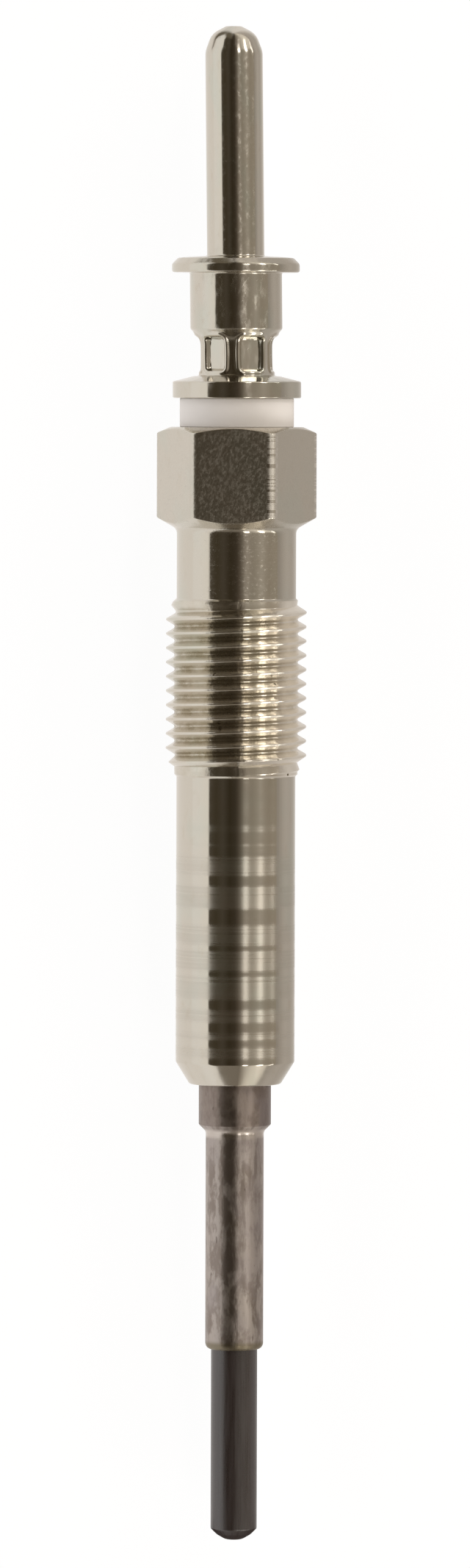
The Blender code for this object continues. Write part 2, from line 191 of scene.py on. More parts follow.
def grid_vertices(radii, heights, angles):
    """World positions in metres of a grid whose rows run round the axis."""
    return np.stack(
        [radii * np.sin(angles), heights + FRONT_FACE_Y, AXIS_Z + radii * np.cos(angles)], axis=-1
    ).reshape(-1, 3) / 1000


def ring_faces(rows, columns, tube):
    """Quads of a grid that closes round the axis, and also end to end if it is a tube."""
    faces = []
    for row in range(rows if tube else rows - 1):
        low, high = row * columns, (row + 1) % rows * columns
        for column in range(columns):
            following = (column + 1) % columns
            faces.append((low + column, low + following, high + following, high + column))
    return faces


def piece_of(name, vertices, faces, finishes, region=None):
    """A smooth-shaded object facing outwards. Region gives each face's finish from its height, radius and slope."""
    mesh = bpy.data.meshes.new(name)
    mesh.from_pydata(vertices.tolist(), [], faces)
    shape = bmesh.new()
    shape.from_mesh(mesh)
    bmesh.ops.recalc_face_normals(shape, faces=shape.faces)
    if shape.calc_volume(signed=True) < 0:
        bmesh.ops.reverse_faces(shape, faces=shape.faces)
    shape.to_mesh(mesh)
    shape.free()
    mesh.shade_smooth()
    mesh.set_sharp_from_angle(angle=SHARP_ANGLE)
    for finish in finishes:
        mesh.materials.append(finish)
    if region:
        centres, normals = np.zeros(len(mesh.polygons) * 3), np.zeros(len(mesh.polygons) * 3)
        mesh.polygons.foreach_get("center", centres)
        mesh.polygons.foreach_get("normal", normals)
        x, y, z = centres.reshape(-1, 3).T * 1000
        index = region(y - FRONT_FACE_Y, np.hypot(x, z - AXIS_Z), normals.reshape(-1, 3)[:, 1])
        mesh.polygons.foreach_set("material_index", index.astype(np.int32))
    piece = bpy.data.objects.new(name, mesh)
    bpy.context.scene.collection.objects.link(piece)
    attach(piece, "root")
    return piece


def turned(name, profile, columns, finishes, shaped=None, region=None):
    """A turned piece from rows of (radius, height). Rows that end on the axis close with a fan, others as a tube."""
    angles = np.arange(columns) * 2 * math.pi / columns
    solid = profile[0][0] < 1e-6
    body = profile[1:-1] if solid else profile
    radii = np.repeat(body[:, :1], columns, axis=1)
    heights = np.repeat(body[:, 1:], columns, axis=1)
    if shaped:
        radii, heights = shaped(radii, heights, angles)
    vertices = grid_vertices(radii, heights, angles)
    faces = ring_faces(len(body), columns, not solid)
    if solid:
        last = len(vertices)
        ends = [[0, profile[0][1] + FRONT_FACE_Y, AXIS_Z], [0, profile[-1][1] + FRONT_FACE_Y, AXIS_Z]]
        vertices = np.concatenate([vertices, np.array(ends) / 1000])
        top = (len(body) - 1) * columns
        for column in range(columns):
            following = (column + 1) % columns
            faces.append((last, following, column))
            faces.append((last + 1, top + column, top + following))
    return piece_of(name, vertices, faces, finishes, region)


def hex_columns():
    """Angles once round from the thread's start, in even steps on the flats and round the corners.

    Also half the angle that a corner takes up, and how far out its centre lies.
    """
    center = (HEX_FLAT - HEX_CORNER) / math.cos(math.pi / 6)
    half = math.atan2(HEX_CORNER / 2, center + HEX_CORNER * math.cos(math.pi / 6))
    flat = math.pi / 3 - 2 * half
    angles = []
    for corner in range(6):
        base = math.pi / 6 + corner * math.pi / 3
        angles += [base + half * (i / 3) for i in range(-3, 3)]
        angles += [base + half + flat * i / 50 for i in range(50)]
    angles = np.array(sorted(a % (2 * math.pi) for a in angles))
    start = int(np.argmin(abs(angles - math.radians(5.33))))
    return np.concatenate([angles[start:], angles[:start] + 2 * math.pi]), half, center


def hex_radius(angles, half, center):
    """The hexagon's radius at each angle."""
    off = abs(angles % (math.pi / 3) - math.pi / 6)
    reach = np.sqrt(np.maximum(HEX_CORNER**2 - (center * np.sin(off)) ** 2, 0))
    return np.where(off > half, HEX_FLAT / np.cos(math.pi / 6 - off), center * np.cos(off) + reach)


def thread_rows(share, last_turn):
    """Rows of every tooth: its foot, its round crest, its rear flank and the round root behind it."""
    foot_share = 0.22
    spare = THREAD_END - THREAD_START - 2 * CREST_HALF - TURNS * PITCH

    def rise(turn):
        return np.clip(np.minimum(turn / FRONT_RUNOUT, (last_turn - turn) / REAR_RUNOUT), 0, 1)

    def height(turn):
        return THREAD_START + CREST_HALF + spare / 2 + turn * PITCH

    def crest(turn):
        depth = np.maximum((THREAD_CREST + CREST_ROUND - THREAD_ROOT) * rise(turn), 0.0006)
        return THREAD_ROOT + depth, height(turn), CREST_ROUND * rise(turn) + 0.002

    def root(turn):
        deep = np.minimum(rise(turn), np.clip(turn - 0.5, 0, 1))
        return THREAD_ROOT - ROOT_ROUND * deep, height(turn), ROOT_ROUND * deep + 0.002

    rows = []
    for k in range(TURNS):
        turn = k + share
        before, top, after, following = root(turn - 0.5), crest(turn), root(turn + 0.5), crest(turn + 1)
        if k == 0:
            foot_half = CREST_HALF + (top[0] - THREAD_ROOT) * math.tan(math.radians(30))
            foot = np.stack([np.full_like(share, THREAD_ROOT), top[1] - foot_half], axis=-1)
        else:
            foot = np.stack([a + foot_share * (b - a) for a, b in zip(before[:2], top[:2])], axis=-1)
        flank = np.stack([(top[0] + after[0]) / 2, (top[1] + after[1]) / 2], axis=-1)
        rows += [foot, *rounded([before, top, after])[1:-1], flank, *rounded([top, after, following])[1:-1]]
    rows = np.array(rows)
    step = 0.002 * np.arange(len(rows))[:, None]
    rows[..., 1] = np.maximum(rows[..., 1], THREAD_START + 0.002 + step)
    rows[..., 1] = np.minimum(rows[..., 1], THREAD_END - 0.002 - step[::-1])
    return rows, len(rows) // TURNS


def housing_region(height, radius, slope):
    """0 for the shank, 1 for the thread, 2 for the neck and turned faces behind it, 3 for the hexagon's flats."""
    flat = (height > HEX_START) & (abs(slope) < 0.2) & (radius > 4.8)
    return np.where(flat, 3, np.where(height > THREAD_END, 2, np.where(height > THREAD_START - 0.1, 1, 0)))


def housing(finishes):
    """The body: its thread climbs one pitch a turn, so at the seam each tooth meets the next one up."""
    angles, half, center = hex_columns()
    hexagon = hex_radius(angles, half, center)
    share = (angles - angles[0]) / (2 * math.pi)
    last_turn = TURNS - 1 + share[-1]
    seat_end = 3.22
    seat_run = (BODY - seat_end) / math.tan(math.radians(31.5))
    front = rounded(
        [
            (FRONT_BORE, 0.3, 0),
            (FRONT_BORE, 0, 0.06),
            (seat_end, 0, 0.22),
            (BODY, seat_run, 0.3),
            (BODY, THREAD_START - 0.147, 0.1),
            (THREAD_ROOT, THREAD_START, 0),
        ]
    )
    front = subdivided(front, 1.5)
    front = np.repeat(front[:, None, :], len(angles), axis=1)
    teeth, tooth_rows = thread_rows(share, last_turn)
    slope = math.tan(math.radians(30))
    one = np.ones_like(hexagon)
    rear = rounded(
        [
            (THREAD_ROOT * one, THREAD_END, 0),
            (NECK, THREAD_END + 0.132, 0.1),
            (NECK, HEX_START, 0.54),
            (hexagon, HEX_START + (hexagon - NECK) * slope, 0.12),
            (hexagon, HEX_END - (hexagon - HEX_REAR) * math.tan(math.radians(24)), 0.12),
            (HEX_REAR, HEX_END, 0.1),
            (REAR_BORE, HEX_END, 0.08),
            (REAR_BORE, HEX_END - 2.8, 0),
            (BORE, HEX_END - 2.8, 0),
            (BORE, 7.05, 0),
            (FRONT_BORE, 7.05, 0),
        ]
    )
    rear = subdivided(rear, 1.5)
    grid = np.concatenate([front, teeth, rear])
    columns = len(angles)
    vertices = grid_vertices(grid[..., 0], grid[..., 1], angles)
    rows = len(grid)
    first_tooth, first_rear = len(front), len(front) + len(teeth)
    faces = []
    for row in range(rows):
        low, high = row * columns, (row + 1) % rows * columns
        for column in range(columns - 1):
            faces.append((low + column, low + column + 1, high + column + 1, high + column))
    last = columns - 1
    ordinary = [*range(first_tooth - 1), *range(first_rear, rows)]
    for row in ordinary:
        low, high = row * columns, (row + 1) % rows * columns
        faces.append((low + last, low, high, high + last))
    for row in range(first_tooth, first_rear - tooth_rows - 1):
        low, high = row * columns, (row + 1) * columns
        shift = tooth_rows * columns
        faces.append((low + last, low + shift, high + shift, high + last))
    foot = [(first_tooth - 1) * columns + last]
    foot += [row * columns for row in range(first_tooth - 1, first_tooth + tooth_rows + 1)]
    foot += [first_tooth * columns + last]
    head = [first_rear * columns + last]
    head += [row * columns + last for row in range(first_rear - 1, first_rear - tooth_rows - 2, -1)]
    head += [(first_rear - 1) * columns, first_rear * columns]
    faces += [tuple(foot), tuple(head)]
    piece = piece_of("plug_body", vertices, faces, finishes, housing_region)
    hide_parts("housing")
    return piece


def pressed(radii, heights, angles):
    """Six flat-floored windows pressed into the terminal's neck, each with a lip of metal pushed up round it."""
    inside = (heights > CRIMP_HEIGHT - 1.75) & (heights < CRIMP_HEIGHT + 1.75) & (radii > 2)
    pressed_in = radii.copy()
    for centre, depth, width in CRIMPS:
        off = (angles - math.radians(centre) + math.pi) % (2 * math.pi) - math.pi
        run = heights - CRIMP_HEIGHT
        side = abs(off) * CRIMP_NECK
        bow = width * (1 - 0.06 * (run / CRIMP_HALF_HEIGHT) ** 2)
        reach_side = side - (bow - CRIMP_CORNER)
        reach_end = abs(run) - (CRIMP_HALF_HEIGHT - CRIMP_CORNER)
        outside = np.hypot(np.maximum(reach_side, 0), np.maximum(reach_end, 0))
        edge = outside + np.minimum(np.maximum(reach_side, reach_end), 0) - CRIMP_CORNER
        floor = (CRIMP_NECK - depth) / np.cos(np.clip(off, -1, 1))
        share = np.clip((edge + CRIMP_WALL) / CRIMP_WALL, 0, 1)
        share = share * share * (3 - 2 * share)
        lip = CRIMP_LIP * np.exp(-(((edge - 0.12) / 0.15) ** 2))
        near = (abs(off) < math.radians(42)) & inside
        target = np.where(floor < radii, floor + (radii - floor) * share, radii) + lip
        target = np.where(edge < 0, target, np.maximum(pressed_in, target))
        pressed_in = np.where(near & (edge < 0.4), target, pressed_in)
    return pressed_in, heights


def terminal_region(height, radius, slope):
    """0 for the pin, 1 for the barrel and the flange behind it, 2 for the crimped neck and the foot."""
    return np.where(height > TERMINAL_BASE + 9.85, 0, np.where(height > TERMINAL_BASE + 4.6, 1, 2))


def terminal(finishes):
    """The terminal, with fine rows where the crimps are, leaning as the photographed one does."""
    base = TERMINAL_BASE
    rows = rounded(
        [
            (0, base + 9.09, 0),
            (TERMINAL_BORE, base + 8.1, 0),
            (TERMINAL_BORE, base, 0.1),
            (FOOT, base, 0.1),
            (FOOT, base + 1.15, 0.12),
            (3.05, base + 1.15 + 1.305 * math.tan(math.radians(16)), 0.5),
            (CRIMP_NECK, base + 1.55, 0.5),
            (CRIMP_NECK, base + 4.1, 1.2),
            (BARREL, base + 4.85, 0.25),
            (BARREL, base + 8.78, 0.14),
            (FLANGE, base + 8.78, 0.16),
            (FLANGE, base + 9.37, 0.3),
            (4.05, base + 9.8, 0.3),
            (PIN, base + 9.93, 0.12),
            (PIN, base + 24.2, 1.6),
            (1.55, base + 25.45, 1.6),
            (0.55, base + 25.96, 0.2),
            (0, base + 25.96, 0),
        ],
        steps=6,
    )
    rows = subdivided(rows, 0.9)
    dense = [rows[0]]
    for before, after in zip(rows, rows[1:]):
        in_neck = before[0] > 2 and base + 1.2 < (before[1] + after[1]) / 2 < base + 5
        count = max(1, math.ceil(np.linalg.norm(after - before) / 0.06)) if in_neck else 1
        dense += [before + (after - before) * (i + 1) / count for i in range(count)]
    piece = turned("terminal", np.array(dense), 432, finishes, pressed, terminal_region)
    for vertex in piece.data.vertices:
        height = vertex.co.y * 1000 - FRONT_FACE_Y
        if math.hypot(vertex.co.x * 1000, vertex.co.z * 1000 - AXIS_Z) > 1.75 or height > base + 10:
            vertex.co.x -= TERMINAL_LEAN * max(height - base - 0.4, 0) / 1000
    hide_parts("pin_terminal")
    return piece


def bush(finishes):
    """The bush: its flange between terminal and hexagon, and its spigot in the body."""
    foot, shoulder, top = HEX_END - 2, HEX_END + 0.005, HEX_END + 2.025
    rows = rounded(
        [
            (TERMINAL_BORE, (foot + top) / 2, 0),
            (TERMINAL_BORE, foot, 0.05),
            (2.95, foot, 0.1),
            (2.95, shoulder, 0.05),
            (4.0, shoulder, 0.06),
            (4.0, top, 0.08),
            (TERMINAL_BORE, top, 0.05),
            (TERMINAL_BORE, (foot + top) / 2 + 0.1, 0),
        ]
    )
    piece = turned("bush", subdivided(rows, 0.5), 144, finishes)
    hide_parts("insulating_bush")
    return piece


def sleeve_region(height, radius, slope):
    """0 for the thin barrel, 1 for the collar."""
    return np.where(height > -3.0, 1, 0)


def sleeve(finishes):
    """The sleeve, from inside the body past its collar to its rounded open end."""
    rows = rounded(
        [
            (SLEEVE_BORE, -5, 0),
            (SLEEVE_BORE, 7, 0.05),
            (COLLAR, 7, 0.25),
            (COLLAR, -2.85, 0.12),
            (SLEEVE, -3.35, 0.45),
            (SLEEVE, -18.34, 0.5),
            (1.93, -18.57, 0.3),
            (1.74, -18.68, 0.1),
            (SLEEVE_BORE, -18.68, 0.02),
            (SLEEVE_BORE, -5.1, 0),
        ],
        steps=6,
    )
    piece = turned("sleeve", subdivided(rows, 0.7), 192, finishes, region=sleeve_region)
    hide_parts("heater_sleeve")
    return piece


def heater(finishes):
    """The ceramic rod with its rounded nose."""
    rows = rounded(
        [
            (0, -32.16, 0),
            (0.6, -32.13, 0.9),
            (1.2, -31.78, 0.8),
            (HEATER, -31.36, 0.14),
            (HEATER, 12, 0.1),
            (0, 12, 0),
        ],
        steps=6,
    )
    piece = turned("heater", subdivided(rows, 0.9), 144, finishes)
    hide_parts("ceramic_heater")
    return piece


# ---------------------------------------------------------------- materials


class Nodes:
    """Short forms for building one node tree."""

    def __init__(self, tree):
        self.tree = tree

    def new(self, kind, settings=None, **inputs):
        node = self.tree.nodes.new(kind)
        for name, value in (settings or {}).items():
            setattr(node, name, value)
        for name, value in inputs.items():
            self.put(node.inputs[name.replace("_", " ")], value)
        return node

    def put(self, socket, value):
        if isinstance(value, bpy.types.NodeSocket):
            self.tree.links.new(value, socket)
        elif socket.type == "RGBA" and len(value) == 3:
            socket.default_value = (*value, 1)
        else:
            socket.default_value = value

    def math(self, operation, *values, clamp=False):
        node = self.new("ShaderNodeMath", {"operation": operation, "use_clamp": clamp})
        for socket, value in zip(node.inputs, values):
            self.put(socket, value)
        return node.outputs[0]

    def vector(self, operation, *values):
        node = self.new("ShaderNodeVectorMath", {"operation": operation})
        for socket, value in zip(node.inputs, values):
            self.put(socket, value)
        return node.outputs[0]

    def span(self, value, low, high, to_low=0.0, to_high=1.0):
        """A value between low and high brought smoothly to between to_low and to_high."""
        node = self.new("ShaderNodeMapRange", {"interpolation_type": "SMOOTHSTEP"})
        for socket, given in zip(node.inputs, (value, low, high, to_low, to_high)):
            self.put(socket, given)
        return node.outputs[0]

    def mix(self, share, first, second, blend="MIX"):
        node = self.new("ShaderNodeMix", {"data_type": "RGBA", "blend_type": blend})
        for index, value in ((0, share), (6, first), (7, second)):
            self.put(node.inputs[index], value)
        return node.outputs[2]

    def ramp(self, share, stops):
        node = self.new("ShaderNodeValToRGB", Fac=share)
        points = node.color_ramp.elements
        while len(points) < len(stops):
            points.new(0.5)
        for point, (place, colour) in zip(points, sorted(stops)):
            point.position = place
            point.color = (*colour, 1)
        return node.outputs[0]

    def noise(self, place, scale, detail=2.0, rough=0.5, distortion=0.0, flat=False):
        """Noise from 0 to 1, along one value if flat is set and else in space."""
        node = self.new("ShaderNodeTexNoise", {"noise_dimensions": "1D" if flat else "3D"})
        self.put(node.inputs["W" if flat else "Vector"], place)
        for name, value in (("Scale", scale), ("Detail", detail), ("Roughness", rough), ("Distortion", distortion)):
            node.inputs[name].default_value = value
        return node.outputs[0]


class Surface(Nodes):
    """A Principled material with coordinates in millimetres from the plug's axis."""

    def __init__(self, name):
        self.material = bpy.data.materials.new(name)
        self.material.use_nodes = True
        super().__init__(self.material.node_tree)
        self.shader = self.tree.nodes["Principled BSDF"]
        place = self.new("ShaderNodeTexCoord").outputs["Object"]
        place = self.vector("SUBTRACT", place, (0, FRONT_FACE_Y / 1000, AXIS_Z / 1000))
        self.place = self.vector("MULTIPLY", place, (1000, 1000, 1000))
        parts = self.new("ShaderNodeSeparateXYZ", Vector=self.place).outputs
        self.x, self.height, self.z = parts
        self.angle = self.math("ARCTAN2", self.x, self.z)

    def unrolled(self, radius, along=1.0, around=1.0):
        """A place on the surface: along the axis, and twice round it so that no seam shows."""
        cosine = self.math("MULTIPLY", self.math("COSINE", self.angle), radius * around)
        sine = self.math("MULTIPLY", self.math("SINE", self.angle), radius * around)
        height = self.math("MULTIPLY", self.height, along)
        return self.new("ShaderNodeCombineXYZ", X=sine, Y=height, Z=cosine).outputs[0]

    def finish(self, **inputs):
        for name, value in inputs.items():
            self.put(self.shader.inputs[name.replace("_", " ")], value)
        return self.material

    def across_axis(self):
        """Makes the gloss of turned metal spread along the axis."""
        tangent = self.new("ShaderNodeTangent", {"direction_type": "RADIAL", "axis": "Y"})
        self.put(self.shader.inputs["Tangent"], tangent.outputs[0])
        self.put(self.shader.inputs["Anisotropic Rotation"], 0.25)

    def bump(self, height):
        """Relief from a height in millimetres."""
        node = self.new("ShaderNodeBump", Height=height, Strength=1.0, Distance=0.001)
        self.put(self.shader.inputs["Normal"], node.outputs[0])

    def bands(self, places):
        """Up to 1 in each band (low, high, strength) of heights, soft at its edges."""
        mask = 0.0
        for low, high, strength in places:
            off = self.math("ABSOLUTE", self.math("SUBTRACT", self.height, (low + high) / 2))
            half = (high - low) / 2
            mask = self.math("MAXIMUM", mask, self.span(off, half + 0.2, half - 0.16, 0, strength))
        return mask

    def plated(self, stain_scale=0.35):
        """Nickel's warm grey, a little greener or browner from place to place."""
        stain = self.noise(self.unrolled(4, 0.6), stain_scale, 3)
        brown = self.noise(self.unrolled(4, 0.8, 1.4), stain_scale * 2.3, 4, 0.6)
        colour = self.mix(self.span(stain, 0.45, 0.7), NICKEL, (0.615, 0.60, 0.525))
        return self.mix(self.span(brown, 0.54, 0.8, 0, 0.5), colour, (0.57, 0.51, 0.415))


def shank_nickel():
    """Turned metal: rough bands from the tool that catch the lamps, smooth ones between them."""
    made = Surface("shank_nickel")
    made.across_axis()
    places = [
        (17.9, 18.3, 0.45), (16.9, 17.0, 0.5), (14.79, 16.13, 0.9), (12.47, 14.07, 1), (9.94, 11.34, 1),
        (8.14, 9.53, 1), (6.13, 7.73, 0.95), (4.53, 5.41, 0.9), (3.3, 3.81, 0.8), (2.01, 2.78, 0.75),
    ]
    broken = made.noise(made.height, 4.5, 3, 0.6, flat=True)
    tool = made.math("MULTIPLY", made.bands(places), made.span(broken, 0.25, 0.6, 0.6, 1))
    uneven = made.noise(made.unrolled(4.2, 1.6, 0.5), 1.0, 3)
    lines = made.noise(made.height, 11, 2, 0.6, flat=True)
    rough = made.math("MULTIPLY_ADD", tool, 0.23, 0.125)
    rough = made.math("MULTIPLY_ADD", made.math("SUBTRACT", uneven, 0.5), 0.1, rough)
    rough = made.math("MULTIPLY_ADD", made.math("SUBTRACT", lines, 0.5), 0.05, rough)
    wave = made.noise(made.unrolled(4.2, 0.5, 0.5), 0.8, 2)
    made.bump(made.math("ADD", made.math("MULTIPLY", lines, 0.0003), made.math("MULTIPLY", wave, 0.004)))
    return made.finish(Base_Color=made.plated(), Metallic=1.0, Roughness=rough, Anisotropic=0.97)


def thread_nickel():
    """Painted shade in the roots, olive and broken up by noise, and small dark nicks.

    Towards +X the metal is painted paler than nickel is, painted light, and the painted shade in the roots fades
    there.
    """
    made = Surface("thread_nickel")
    made.across_axis()
    square = made.math("ADD", made.math("POWER", made.x, 2), made.math("POWER", made.z, 2))
    radius = made.math("POWER", square, 0.5)
    thread_mottle = made.noise(made.unrolled(4.6, 1.5, 0.8), 0.9, 4, 0.65)
    middle = made.bands([(22.9, 33.0, 1)])
    # Painted shade: the thread's roots turn darker and olive, broken up by the mottle
    deep = made.math("MULTIPLY", made.span(radius, 4.60, 4.30), made.span(thread_mottle, 0.3, 0.62, 0.1, 0.75))
    deep = made.math("MULTIPLY", deep, made.math("MULTIPLY_ADD", middle, 0.8, 0.2))
    # Painted light: towards +X the metal turns paler and the painted root shade fades
    painted_light_right = made.span(made.x, 0.5, 3.5)
    deep = made.math("MULTIPLY", deep, made.math("MULTIPLY_ADD", painted_light_right, -0.6, 1.0))
    spots = made.span(made.noise(made.unrolled(4.6, 1, 1), 1.5, 2), 0.72, 0.77)
    plated = made.vector("MULTIPLY", made.plated(), (1.07, 1.07, 1.07))
    colour = made.mix(painted_light_right, plated, (0.83, 0.78, 0.69))
    # Painted light: paler still further towards +X
    colour = made.mix(made.span(made.x, 2.4, 4.0), colour, (0.98, 0.93, 0.84))
    colour = made.mix(deep, colour, (0.32, 0.265, 0.16))
    colour = made.mix(spots, colour, (0.16, 0.12, 0.07))
    rough = made.math("MULTIPLY_ADD", deep, 0.1, made.span(thread_mottle, 0.3, 0.7, 0.13, 0.25))
    made.bump(made.math("MULTIPLY", made.noise(made.unrolled(4.6, 1, 1), 2.4, 3), 0.016))
    return made.finish(Base_Color=colour, Metallic=1.0, Roughness=rough, Anisotropic=0.5)


def neck_nickel():
    """Smooth turned metal with fine specks in the plating."""
    made = Surface("neck_nickel")
    made.across_axis()
    specks = made.span(made.noise(made.unrolled(4.2, 2.4, 2.0), 2.2, 3, 0.6), 0.48, 0.76)
    lines = made.noise(made.height, 10, 3, 0.7, flat=True)
    rough = made.math("MULTIPLY_ADD", specks, 0.16, made.span(lines, 0.3, 0.7, 0.12, 0.16))
    wave = made.noise(made.unrolled(4.2, 0.5, 0.5), 0.9, 2)
    made.bump(made.math("ADD", made.math("MULTIPLY", lines, 0.0006), made.math("MULTIPLY", wave, 0.004)))
    return made.finish(Base_Color=made.plated(), Metallic=1.0, Roughness=rough, Anisotropic=0.9)


def hexagon_nickel():
    """Drawn faces full of short light strokes. The corners on the +X side are painted paler, a painted highlight, and
    their roughness is broken up along them.
    """
    made = Surface("hexagon_nickel")
    made.across_axis()
    tilted = made.new("ShaderNodeVectorRotate", {"rotation_type": "Z_AXIS"}, Vector=made.place, Angle=0.35)
    stretched = made.vector("MULTIPLY", tilted.outputs[0], (6, 3.6, 6))
    strokes = made.span(made.noise(stretched, 1.0, 3, 0.65), 0.4, 0.8)
    grain = made.noise(made.place, 7.0, 3, 0.7)
    sector = made.math("PINGPONG", made.math("ADD", made.angle, math.pi / 6), math.pi / 6)
    corner = made.span(sector, math.radians(5.2), math.radians(3.2))
    # Painted highlight: only the corners on the +X side turn paler
    corner = made.math("MULTIPLY", corner, made.span(made.x, 0, 1))
    breaks = made.span(made.noise(made.height, 2.8, 3, 0.75, flat=True), 0.42, 0.52)
    rough = made.math("MULTIPLY_ADD", strokes, 0.26, 0.3)
    rough = made.math("MULTIPLY_ADD", grain, 0.08, rough)
    corner_roughness = made.math("MULTIPLY_ADD", breaks, 0.4, 0.16)
    rough = made.math("MULTIPLY_ADD", corner, made.math("SUBTRACT", corner_roughness, rough), rough)
    pale = made.math("MAXIMUM", made.math("MULTIPLY", strokes, 0.55), corner)
    colour = made.mix(pale, made.plated(), (0.80, 0.76, 0.69))
    made.bump(made.math("ADD", made.math("MULTIPLY", strokes, 0.003), made.math("MULTIPLY", grain, 0.003)))
    return made.finish(Base_Color=colour, Metallic=1.0, Roughness=rough, Anisotropic=0.85)


def pin_nickel():
    """Polished, with fine specks in the plating."""
    made = Surface("pin_nickel")
    made.across_axis()
    specks = made.span(made.noise(made.unrolled(2, 1.5, 2.4), 1.5, 3, 0.6), 0.44, 0.76)
    fine = made.noise(made.unrolled(2, 0.5, 1), 9, 2)
    rough = made.math("MULTIPLY_ADD", specks, 0.14, made.span(fine, 0.3, 0.7, 0.11, 0.15))
    made.bump(made.math("MULTIPLY", made.noise(made.unrolled(2, 0.5, 0.8), 1.0, 2), 0.002))
    return made.finish(Base_Color=made.plated(0.5), Metallic=1.0, Roughness=rough, Anisotropic=0.88)


def barrel_nickel(name, depth, mottle):
    """Mottled along the axis, with a few rubbed scratches."""
    made = Surface(name)
    made.across_axis()
    patches = made.span(made.noise(made.unrolled(3.2, 0.8, 2.0), 1.0, 3, 0.6), 0.42, 0.72)
    tilted = made.new("ShaderNodeVectorRotate", {"rotation_type": "Z_AXIS"}, Vector=made.place, Angle=-0.9)
    scratch = made.span(made.noise(made.vector("MULTIPLY", tilted.outputs[0], (0.8, 7, 3)), 1.0, 2), 0.66, 0.76)
    rough = made.math("MULTIPLY_ADD", patches, mottle, 0.13)
    rough = made.math("MULTIPLY_ADD", scratch, 0.15, rough)
    wave = made.noise(made.unrolled(3.2, 0.5, 1.2), 1.1, 2)
    made.bump(made.math("MULTIPLY", wave, depth))
    return made.finish(Base_Color=made.plated(0.5), Metallic=1.0, Roughness=rough, Anisotropic=0.85)


def bush_plastic():
    """White plastic, faintly clouded and grained."""
    made = Surface("bush_plastic")
    cloud = made.noise(made.unrolled(4, 1, 1), 0.9, 3)
    grain = made.noise(made.place, 12, 3, 0.6)
    colour = made.mix(cloud, (0.93, 0.905, 0.90), (0.97, 0.945, 0.94))
    made.bump(made.math("MULTIPLY", grain, 0.006))
    return made.finish(Base_Color=colour, Metallic=0.0, Roughness=made.span(cloud, 0.3, 0.7, 0.4, 0.55))


def sleeve_metal(name, pale, dark, tint, roughness):
    """Steel after heat: blotched, streaked and tinted, with a painted highlight at its step and brown at its open
    end.
    """
    made = Surface(name)
    made.across_axis()
    blotch = made.noise(made.unrolled(2, 0.45, 1.2), 1.0, 4, 0.55, 0.6)
    small = made.noise(made.unrolled(2, 1.1, 2.2), 1.5, 3, 0.6)
    streak = made.noise(made.unrolled(2, 0.16, 3), 1.6, 3, 0.6)
    marks = made.span(made.noise(made.unrolled(2, 0.8, 2.4), 1.1, 2), 0.70, 0.76, 0, 0.6)
    # Painted highlight: the fillet at the step is paler, and smoother too
    fillet_highlight = made.bands([(-3.7, -3.2, 1)])
    rim = made.span(made.height, -17.95, -18.35, 0, 0.75)
    heated = made.noise(made.unrolled(2, 0.35, 0.7), 0.8, 2)
    share = made.math("ADD", made.math("MULTIPLY", blotch, 0.68), made.math("MULTIPLY", small, 0.32))
    colour = made.mix(made.span(share, 0.41, 0.58), dark, pale)
    colour = made.mix(made.span(streak, 0.5, 0.75, 0, 0.35), colour, dark)
    colour = made.mix(made.span(heated, 0.45, 0.7, 0, 0.5), colour, tint)
    colour = made.mix(marks, colour, (0.15, 0.12, 0.10))
    colour = made.mix(fillet_highlight, colour, (0.60, 0.54, 0.49))
    colour = made.mix(rim, colour, (0.23, 0.195, 0.12))
    rough = made.math("MULTIPLY_ADD", streak, 0.06, made.span(share, 0.4, 0.62, roughness - 0.06, roughness + 0.04))
    rough = made.math("MULTIPLY_ADD", fillet_highlight, -0.16, rough)
    made.bump(made.math("ADD", made.math("MULTIPLY", blotch, 0.025), made.math("MULTIPLY", small, 0.008)))
    return made.finish(Base_Color=colour, Metallic=1.0, Roughness=rough, Anisotropic=0.75)


def ground_ceramic():
    """Grey-black nitride ceramic, ground along its length."""
    made = Surface("heater_ground_ceramic")
    made.across_axis()
    streak = made.noise(made.unrolled(1.62, 0.12, 3.5), 2.0, 4, 0.65)
    grain = made.noise(made.unrolled(1.62, 1, 1), 8, 3, 0.6)
    colour = made.mix(streak, (0.019, 0.012, 0.0112), (0.042, 0.030, 0.0285))
    rough = made.math("ADD", made.span(streak, 0.35, 0.65, 0.24, 0.36), made.math("MULTIPLY", grain, 0.05))
    made.bump(made.math("ADD", made.math("MULTIPLY", streak, 0.004), made.math("MULTIPLY", grain, 0.001)))
    return made.finish(Base_Color=colour, Metallic=0.0, Roughness=rough, IOR=1.9)


def drawn_wire(name, colour, metallic, roughness, scale):
    """For the hidden pieces: colour, gloss and relief that vary, with lines along the axis."""
    made = Surface(name)
    lines = made.noise(made.unrolled(2, 0.15, 2.5), scale, 4, 0.6)
    cloud = made.noise(made.place, scale / 3, 3)
    darker = tuple(0.6 * c for c in colour)
    mixed = made.mix(made.math("MULTIPLY", lines, cloud), colour, darker)
    made.bump(made.math("MULTIPLY", lines, 0.01))
    rough = made.math("MULTIPLY_ADD", lines, 0.25, roughness - 0.1)
    return made.finish(Base_Color=mixed, Metallic=metallic, Roughness=rough)


